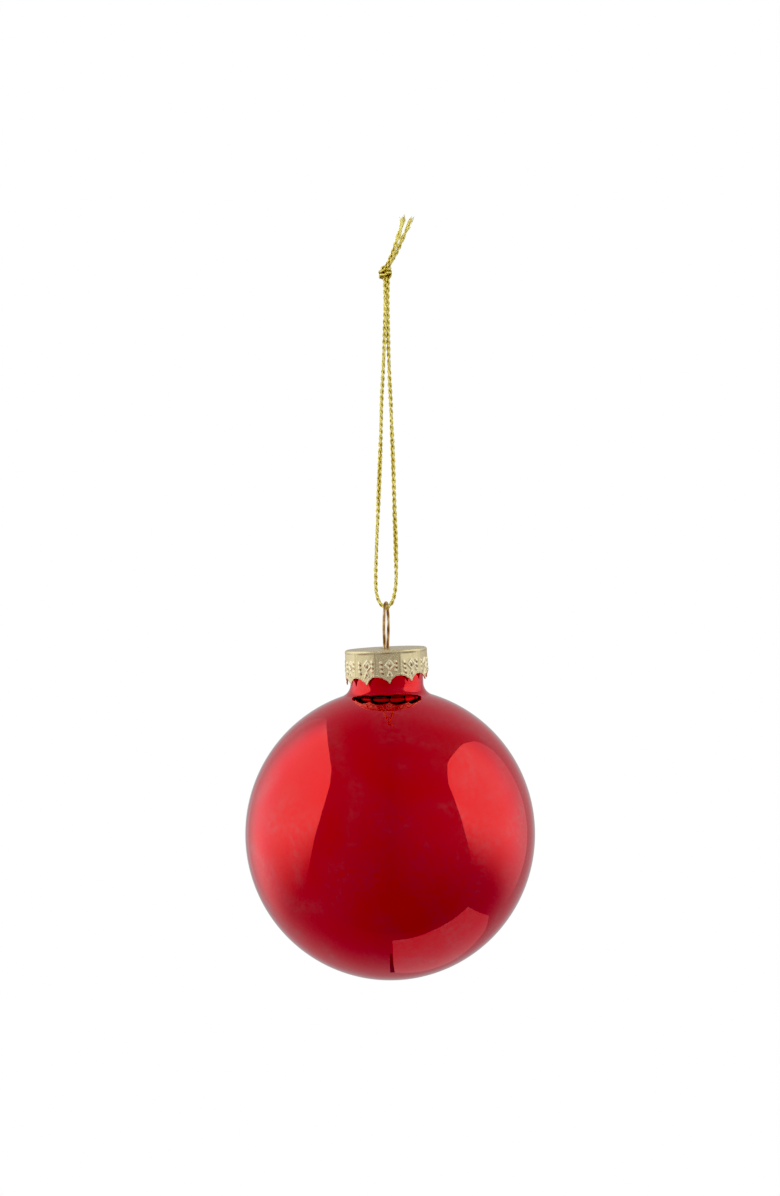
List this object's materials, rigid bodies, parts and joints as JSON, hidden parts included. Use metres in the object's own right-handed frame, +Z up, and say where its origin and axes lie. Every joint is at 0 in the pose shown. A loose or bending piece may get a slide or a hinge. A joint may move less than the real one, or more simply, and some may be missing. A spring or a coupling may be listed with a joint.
{
  "type": "glass ball ornament",
  "caption": "Red mirror-finish glass ball with a short neck, scalloped metal crown cap, sprung wire hanging clip and a knotted twisted gold cord loop.",
  "frame": {"origin": "the point the ornament hangs from: the inside top of the cord loop, just below its knot", "axes": "+Z up against gravity as it hangs, +X to the right seen from the front, +Y to the back; the wire eye runs from front to back and the cord passes through it from left to right"},
  "size_m": [0.0669, 0.067, 0.1762],
  "materials": {
    "red_glass": "silvered inside and lacquered glossy red",
    "champagne_metal": "satin pale gold, embossed",
    "copper_wire": "copper-washed drawn spring wire",
    "gold_cord": "twisted metallic yarn"
  },
  "bodies": {
    "cord": {"cord_loop": "gold_cord", "cord_knot": "gold_cord", "cord_tail_left": "gold_cord", "cord_tail_right": "gold_cord"},
    "clip": {"wire_clip": "copper_wire"},
    "cap": {"cap": "champagne_metal"},
    "ball": {"glass_ball": "red_glass"}
  },
  "joints": [
    {"name": "swing", "type": "hinge", "parent": "cord", "child": "clip", "pos_m": [0, 0, -0.07575], "axis": [1, 0, 0], "range_deg": [-90, 90]},
    {"name": "cap_lift", "type": "slide", "parent": "clip", "child": "cap", "axis": [0, 0, 1], "range_m": [0, 0.005]},
    {"name": "ball_pull", "type": "slide", "parent": "clip", "child": "ball", "axis": [0.0218, 0, -0.9998], "range_m": [0, 0.026]}
  ]
}
